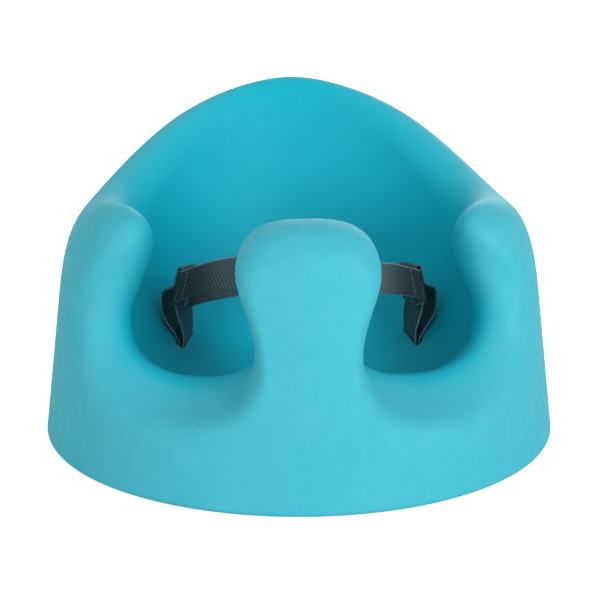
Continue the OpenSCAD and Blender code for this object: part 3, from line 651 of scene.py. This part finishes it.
def makeSeat():
    grid = seatPoints()
    n, m = grid.shape[:2]
    middles = [[0, 0, seatForm["recessH"]], [0, seatForm["bowlBack"], seatForm["floorZ"]]]
    points = np.vstack([grid.reshape(-1, 3), middles])
    faces = []
    for i in range(n):
        j = (i + 1) % n
        faces += [[i * m, j * m, n * m], [n * m + 1, j * m + m - 1, i * m + m - 1]]
        faces += [[j * m + k, j * m + k + 1, i * m + k + 1, i * m + k] for k in range(m - 1)]
    seat = meshObject("foamSeat", points, faces, foamSkin)
    cutters = [slotCutter(side) for side in (-1, 1)]
    for cutter in cutters:
        cut = seat.modifiers.new(cutter.name, "BOOLEAN")
        cut.operation, cut.solver, cut.object = "DIFFERENCE", "EXACT", cutter
    ready = seat.evaluated_get(bpy.context.evaluated_depsgraph_get())
    seat.data = bpy.data.meshes.new_from_object(ready)
    seat.modifiers.clear()
    for cutter in cutters:
        bpy.data.objects.remove(cutter)
    seat.data.shade_smooth()
    seat.data.set_sharp_from_angle(angle=math.radians(seatForm["sharpAngle"]))
    markBowl(seat.data)
    return seat


foamSeat = makeSeat()
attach(foamSeat, "seat")
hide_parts("seat_shell")
print("foam seat made")


# webbing: every band has the same cross-section, with thinner edges

def sectionRows():
    # places (across, up) round the section, from the edge over the top and back underneath;
    # edgeRound gives each as far in from the edge, and its share of half the thickness
    b = beltForm
    half, t = b["strapW"] / 2, b["strapT"] / 2
    top = [(-half + inset, share * t) for inset, share in b["edgeRound"]]
    top += [(s, t) for s in np.linspace(-half + b["flatInset"], half - b["flatInset"], 9)]
    top += [(half - inset, share * t) for inset, share in b["edgeRound"][::-1]]
    return np.array(top + [(s, -h) for s, h in top[-2:0:-1]])


section = sectionRows()


def sectionRound(line, out=1):
    # the section carried round a closed flat line: the line's two coordinates, and across
    t = unitRows(np.roll(line, -1, 0) - np.roll(line, 1, 0))
    s, h = section[:, 0], out * section[:, 1]
    first, second = line[:, :1] + t[:, 1:] * h, line[:, 1:] - t[:, :1] * h
    return first, second, np.broadcast_to(s, first.shape)


def bandObject(name, grid, closed=False):
    # grid holds a ring of cross-section points for each place along the band
    n, m = grid.shape[:2]
    middle = grid.mean(1)
    along = lengthAlong(np.vstack([middle, middle[:1]]))
    rings = n + 1 if closed else n
    points = np.vstack([grid, grid[:1]]) if closed else grid
    uvRows = np.stack([np.repeat(along[:rings], m), np.tile(section[:, 0], rings)], -1)
    faces = [[i * m + k, i * m + (k + 1) % m, (i + 1) * m + (k + 1) % m, (i + 1) * m + k]
             for i in range(rings - 1) for k in range(m)]
    if not closed:
        faces += [list(range(m))[::-1], [(n - 1) * m + k for k in range(m)]]
    band = meshObject(name, points.reshape(-1, 3), faces, webbing, uvRows)
    faceOutward(band, joinWithin=1e-7)
    return band


def foldX(z):
    # how far from the slot towards the seat's middle the fold lies at this height
    b = beltForm
    return b["foldX"] + (z - b["foldZ"]) * math.tan(math.radians(b["endLean"]))


def loopLine():
    # an anchor loop seen along the seat: round its pin, up the slot, over its top and back
    # down, with a belly on the side away from the horn
    b = beltForm
    t, gap, bendR, foldZ, loopZ, bulge = (b[k] for k in (
        "strapT", "strapGap", "bendR", "foldZ", "loopZ", "loopBulge"))
    plateZ = seatForm["recessH"] - b["plateT"]
    pinZ = plateZ - b["pinD"] / 2 - t - 3 * gap
    legX, wrapR, foldR = (t + gap) / 2, b["pinD"] / 2 + t / 2 + gap, t / 2 + 2 * gap
    bendZ, beside = b["loopTop"] - t / 2 - bendR, foldR + 1.5 * t + gap + 0.2
    midZ = (plateZ + loopZ) / 2
    line = [(wrapR * math.cos(math.radians(a)), pinZ + wrapR * math.sin(math.radians(a)))
            for a in range(-220, 41, 26)]
    line += [(legX + 0.6, plateZ + 0.8), (legX, plateZ + 6), (legX, midZ), (1.6, loopZ - 3),
             (2.3, loopZ + 4), (2.5, loopZ + 10), (1.5, loopZ + 18), (0, loopZ + 25)]
    line += [(foldX(foldZ + h), foldZ + h) for h in (-12, -4, 4)]
    line += [(foldX(bendZ) - bendR + bendR * math.cos(math.radians(a)),
              bendZ + bendR * math.sin(math.radians(a))) for a in (0, 60, 120, 180)]
    line += [(foldX(bendZ - 6) - beside, bendZ - 6),
             (foldX(foldZ + 2) - beside - 0.5, foldZ + 2), (-0.75 * bulge, foldZ - 1.5),
             (-0.96 * bulge, foldZ - 5), (-bulge, foldZ - 11), (-0.94 * bulge, foldZ - 20),
             (-0.72 * bulge, foldZ - 26), (-0.36 * bulge, loopZ + 9.5), (-2, loopZ + 4),
             (-legX, loopZ), (-legX, midZ), (-legX, plateZ + 6), (-legX - 0.6, plateZ + 0.8)]
    return curveThrough(line, 8, True)


def twisted(side, x, y, z):
    # a loop's places on its side of the seat: above the slot it turns to face the buckle,
    # and the rear of its top dips
    b = beltForm
    more = (b["beltTurn"] - b["slotTurn"]) * smoothStep((z - b["loopZ"]) / b["turnH"])
    turn = np.radians(b["slotTurn"] + more)
    dip = b["dip"] * (y + b["strapW"] / 2) * smoothStep((z - b["dipFromZ"]) / b["dipH"])
    return np.stack([side * (b["slotX"] - x * np.cos(turn) - y * np.sin(turn)),
                     y * np.cos(turn) - x * np.sin(turn), z - dip], -1)


def makeAnchorLoop(side, name, node):
    x, z, across = sectionRound(loopLine(), -1)
    loop = bandObject(name, twisted(side, x, across, z), closed=True)
    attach(loop, "seat")
    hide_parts(node)


def endPlace(side, x, y, z):
    # from the sewn end's own frame to the seat's: x towards the middle, y along the fold
    b = beltForm
    lean, turn = math.radians(-side * b["endLean"]), math.radians(side * b["beltTurn"])
    px = -side * x * math.cos(lean) + z * math.sin(lean) - side * foldX(b["foldZ"])
    pz = side * x * math.sin(lean) + z * math.cos(lean) + b["foldZ"]
    return np.stack([side * b["slotX"] + px * math.cos(turn) - y * math.sin(turn),
                     px * math.sin(turn) + y * math.cos(turn), pz], -1)


def hullOutline(circles, sides=48):
    # the line round a set of circles (x, y, r), as a belt would lie
    cloud = sorted({(round(x + r * math.cos(q), 6), round(y + r * math.sin(q), 6))
                    for x, y, r in circles
                    for q in np.linspace(0, 2 * math.pi, sides, endpoint=False)})

    def chain(points):
        out = []
        for p in points:
            while len(out) > 1 and ((out[-1][0] - out[-2][0]) * (p[1] - out[-2][1])
                                    - (out[-1][1] - out[-2][1]) * (p[0] - out[-2][0])) <= 0:
                out.pop()
            out.append(p)
        return out[:-1]

    return np.array(chain(cloud) + chain(cloud[::-1]))


def evenSteps(line, step):
    closedLine = np.vstack([line, line[:1]])
    length = lengthAlong(closedLine)
    at = np.linspace(0, length[-1], int(length[-1] / step), endpoint=False)
    return np.stack([np.interp(at, length, closedLine[:, k]) for k in range(2)], -1)


def makeEndFold(side, name):
    # the strap's sewn end, folded round the anchor loop's top
    b = beltForm
    r, half = b["strapT"] + 2 * b["strapGap"], b["strapW"] / 2
    ends = [(0, -half + b["strapGap"], r), (0, half - b["strapGap"], r)]
    line = evenSteps(hullOutline(ends + [(*b["foldTip"], b["foldTipR"] + b["strapT"] / 2)]),
                     b["foldStep"])
    x, y, across = sectionRound(line)
    z = across - b["dip"] * (y + half + r) * b["endDipShare"]
    return bandObject(name, endPlace(side, x, y, z), closed=True)


# the buckle's bars, where the straps turn, placed as in the solids

buckleForm = {"housingL": 24, "gripL": 8, "barD": 3, "barGap": 3.5, "gap": 0.35, "overlap": 2,
              "barReach": 9.5, "loopTip": 3.2, "loopTipR": 0.2, "loopStep": 0.5}
barR = buckleForm["barD"] / 2
barWrap = barR + beltForm["strapGap"] + beltForm["strapT"] / 2
barPitch = buckleForm["barD"] + buckleForm["barGap"]
blockX = (buckleForm["housingL"] / 2 - buckleForm["overlap"] + buckleForm["gap"]
          + buckleForm["gripL"])
innerBarX = blockX + barWrap + beltForm["strapT"] / 2 + beltForm["strapGap"]
outerBarX = innerBarX + barPitch
housingBarX = buckleForm["housingL"] / 2 + buckleForm["barReach"]


# Where each strap runs from its sewn end to the buckle, read off the photograph: distance
# from the middle, y, z, and how far its width leans towards the middle and the front.
strapRuns = {
    "left": [[90.6, -15.8, 110.0, 0.23, 0.11], [84.4, -16.4, 111.6, 0.23, 0.11],
             [73.2, -18.1, 116.2, 0.2, 0.15], [62.6, -20.2, 119.4, 0.16, 0.17],
             [52.7, -22.0, 121.0, 0.07, 0.12], [45.5, -22.8, 121.4, 0.0, 0.03]],
    "right": [[91.0, -16.0, 109.2, 0.23, 0.11], [83.4, -16.4, 111.2, 0.23, 0.11],
              [71.4, -18.0, 114.2, 0.14, 0.1], [57.2, -22.0, 116.4, 0.02, 0.05],
              [45.0, -24.6, 118.8, 0.0, 0.0]],
}

# the left strap's free end comes back behind the main run and hangs a little lower
freeEnd = {"inwards": 0.6, "behind": 4.2, "drops": (6.0, 7.4, 8.6, 8.9), "leanShare": 0.6,
           "tip": [81.0, -11.6, 103.0, 0.2, 0.05]}


def makeStrap(side, route, name):
    line = curveThrough(route, 12)
    place = np.stack([side * line[:, 0], line[:, 1], line[:, 2]], -1)
    ahead = unitRows(np.vstack([place[1:], place[-1:]]) - np.vstack([place[:1], place[:-1]]))
    up = unitRows(np.stack([-side * line[:, 3], -line[:, 4], np.ones(len(line))], -1))
    out = unitRows(np.cross(ahead, up))
    s, h = section[None, :, :1], section[None, :, 1:]
    return bandObject(name, place[:, None] + s * up[:, None] + h * out[:, None])


def joinPieces(pieces, name):
    with bpy.context.temp_override(active_object=pieces[0], selected_editable_objects=pieces):
        bpy.ops.object.join()
    pieces[0].name = name
    return pieces[0]


def leftRoute():
    b, f = beltForm, freeEnd
    y, z = -b["buckleY"], b["buckleZ"]
    run = strapRuns["left"] + [[outerBarX + 8, y + barWrap + 0.6, z, 0, 0],
                               [outerBarX, y + barWrap, z, 0, 0],
                               [outerBarX - barPitch / 2, y + 0.2, z, 0, 0]]
    run += [[innerBarX + barWrap * math.cos(q), y + barWrap * math.sin(q), z, 0, 0]
            for q in (math.radians(d) for d in range(-45, -256, -30))]
    run.append([outerBarX, y + barWrap + b["strapT"] + 1.3, z - 0.4, 0, 0])
    for r, drop in zip(strapRuns["left"][:1:-1], f["drops"]):
        run.append([r[0] - f["inwards"], r[1] + f["behind"], r[2] - drop, r[3],
                    f["leanShare"] * r[4]])
    return run + [f["tip"]]


def makeLeftStrap():
    return joinPieces([makeStrap(-1, leftRoute(), "leftRun"), makeEndFold(-1, "leftEndFold")],
                      "leftLapStrap")


def makeHousingLoop():
    b, f = beltForm, buckleForm
    tip = (barR + f["loopTip"], 0, f["loopTipR"] + b["strapT"] / 2)
    line = evenSteps(hullOutline([(0, 0, barWrap), tip]), f["loopStep"])
    x, y, across = sectionRound(line)
    return bandObject("housingLoop", np.stack(
        [x + housingBarX, y - b["buckleY"], across + b["buckleZ"]], -1), closed=True)


def makeRightStrap():
    b = beltForm
    y, z = -b["buckleY"], b["buckleZ"]
    route = strapRuns["right"] + [[housingBarX + 14, y + 1.2, z - 0.8, 0, 0],
                                  [housingBarX + barR + 4.1, y, z, 0, 0]]
    return joinPieces([makeStrap(1, route, "rightRun"), makeEndFold(1, "rightEndFold"),
                       makeHousingLoop()], "rightLapStrap")


makeAnchorLoop(-1, "leftAnchorLoop", "left_anchor_loop")
makeAnchorLoop(1, "rightAnchorLoop", "right_anchor_loop")
leftStrap = makeLeftStrap()
rightStrap = makeRightStrap()
for strap, node, body, side in ((leftStrap, "left_lap_strap", "tongue", -1),
                                (rightStrap, "right_lap_strap", "housing", 1)):
    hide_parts(node)
    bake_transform(strap)
print("webbing made")


# stitches: short raised lengths of thread. Each seam says how far along the sewn end it
# lies, from where to where it runs across (-1 to 1), and how many points carry it.

stitchForm = {"length": 2.2, "gap": 0.9, "width": 0.62, "rise": 0.16, "sunk": 0.1, "rings": 7,
              "sides": 8, "seams": ((1.0, -0.92, 0.92, 16), (0.2, -0.92, 0.1, 10))}


def threadPoints(start, end, up):
    # rings of points round one length of thread, thinner towards both ends
    f = stitchForm
    ahead = unitRows(end - start)
    side, halfWidth = np.cross(up, ahead), f["width"] / 2
    middle, half = (start + end) / 2, np.linalg.norm(end - start) / 2
    points = []
    for i in range(f["rings"]):
        q = math.pi * (i + 0.5) / f["rings"]
        thin = math.sin(q) ** 0.5
        for j in range(f["sides"]):
            r = 2 * math.pi * j / f["sides"]
            height = halfWidth * thin * math.sin(r) + f["rise"] * thin - f["sunk"]
            points.append(middle - ahead * half * math.cos(q)
                          + side * halfWidth * thin * math.cos(r) + up * height)
    return points


def stitchPiece(name, lines):
    # each line is (points, outward normal); one thread length lies on each step
    f = stitchForm
    rings, sides, pitch = f["rings"], f["sides"], f["length"] + f["gap"]
    points, faces = [], []
    for line, up in lines:
        length = lengthAlong(line)
        count = max(1, int((length[-1] + f["gap"]) / pitch))
        first = (length[-1] - count * pitch + f["gap"]) / 2
        for low in (first + k * pitch for k in range(count)):
            start, end = (np.array([np.interp(v, length, line[:, c]) for c in range(3)])
                          for v in (low, low + f["length"]))
            base = len(points)
            points += threadPoints(start, end, up)
            faces += [[base + i * sides + j, base + i * sides + (j + 1) % sides,
                       base + (i + 1) * sides + (j + 1) % sides, base + (i + 1) * sides + j]
                      for i in range(rings - 1) for j in range(sides)]
            last = base + (rings - 1) * sides
            faces += [list(range(base, base + sides)), list(range(last, last + sides))[::-1]]
    piece = meshObject(name, points, faces, thread)
    faceOutward(piece)
    return piece


def foldStitches(side, name):
    # on the sewn end's near face: a seam line and a short line at the fold
    route = strapRuns["left" if side < 0 else "right"]
    a, b = np.array(route[0]), np.array(route[1])
    ahead = unitRows(np.array([side * (b[0] - a[0]), b[1] - a[1], b[2] - a[2]]))
    half, lines = beltForm["strapW"] / 2, []
    for share, low, high, count in stitchForm["seams"]:
        r = a + (b - a) * share
        up = unitRows(np.array([-side * r[3], -r[4], 1.0]))
        out = unitRows(np.cross(ahead, up))
        out = out if out[1] < 0 else -out
        middle = np.array([side * r[0], r[1], r[2]])
        lines.append((np.array([middle + q * half * up + out * beltForm["strapT"] / 2
                                for q in np.linspace(low, high, count)]), out))
    return stitchPiece(name, lines)


for side, name in ((-1, "leftFoldStitches"), (1, "rightFoldStitches")):
    stitches = foldStitches(side, name)
    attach(stitches, "seat")
print("stitches made")


# buckle, plates and pins keep their solids

hardPieces = ((acetal, ("left_anchor_plate", "right_anchor_plate", "buckle_tongue", "upper_prong",
                        "lower_prong", "buckle_housing")),
              (steelRod, ("left_anchor_pin", "right_anchor_pin")))
for material, nodes in hardPieces:
    for node in nodes:
        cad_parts[node].data.materials.clear()
        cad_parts[node].data.materials.append(material)
print("hard pieces finished")


# floor and light: a lamp is its place in metres, its size in metres and its power in watts

studio = {
    "floor": "#F4F4F2", "floorGlow": 0.68, "floorReach": 6000, "floorZ": -0.2,
    "worldStrength": 0.49, "aim": (0, 0, 0.12),
    "lamps": {"keyLight": ((1.5, -2.35, 0.85), 1.4, 42), "fillLight": ((-1.7, -2.0, 0.8), 1.3, 11),
              "topLight": ((0, 0.2, 2.6), 1.8, 4), "backLight": ((0.5, 2.6, 1.0), 1.6, 22)},
}


def makeFloor():
    material, tree, paint = newMaterial("paleFloor")
    paint.inputs["Base Color"].default_value = linearColour(studio["floor"])
    paint.inputs["Roughness"].default_value = 0.9
    # seen directly, the floor is lifted towards white and keeps the shadow
    path = addNode(tree, "ShaderNodeLightPath")
    glow = addNode(tree, "ShaderNodeMath", {"operation": "MULTIPLY"}, {
        0: path.outputs["Is Camera Ray"], 1: studio["floorGlow"]})
    paint.inputs["Emission Color"].default_value = (1, 1, 1, 1)
    tree.links.new(glow.outputs[0], paint.inputs["Emission Strength"])
    corners = [(x * studio["floorReach"], y * studio["floorReach"], studio["floorZ"])
               for x, y in ((-1, -1), (1, -1), (1, 1), (-1, 1))]
    floor = meshObject("floor", corners, [[0, 1, 2, 3]], material)


def makeWorld():
    # seen directly, in a reflection or through the object, the world is white
    world = bpy.data.worlds.new("studioWorld")
    bpy.context.scene.world = world
    world.use_nodes = True
    tree = world.node_tree
    path = addNode(tree, "ShaderNodeLightPath")
    seen = addNode(tree, "ShaderNodeMath", {"operation": "MAXIMUM"}, {
        0: path.outputs["Is Camera Ray"], 1: path.outputs["Is Glossy Ray"]})
    shown = addNode(tree, "ShaderNodeMath", {"operation": "MAXIMUM"}, {
        0: seen.outputs[0], 1: path.outputs["Is Transmission Ray"]})
    strength = addNode(tree, "ShaderNodeMapRange", inputs={
        "Value": shown.outputs[0], "To Min": studio["worldStrength"], "To Max": 1.0})
    tree.links.new(strength.outputs["Result"], tree.nodes["Background"].inputs["Strength"])
    tree.nodes["Background"].inputs["Color"].default_value = (1, 1, 1, 1)


def makeLamp(name, place, size, power):
    data = bpy.data.lights.new(name, "AREA")
    data.shape, data.size, data.energy = "DISK", size, power
    lamp = bpy.data.objects.new(name, data)
    bpy.context.scene.collection.objects.link(lamp)
    lamp.location = place
    aim = Vector(studio["aim"]) - Vector(place)
    lamp.rotation_mode = "QUATERNION"
    lamp.rotation_quaternion = aim.to_track_quat("-Z", "Y")


makeFloor()
makeWorld()
for name, (place, size, power) in studio["lamps"].items():
    makeLamp(name, place, size, power)
bpy.context.scene.view_settings.view_transform = "Standard"
print("stage lit")
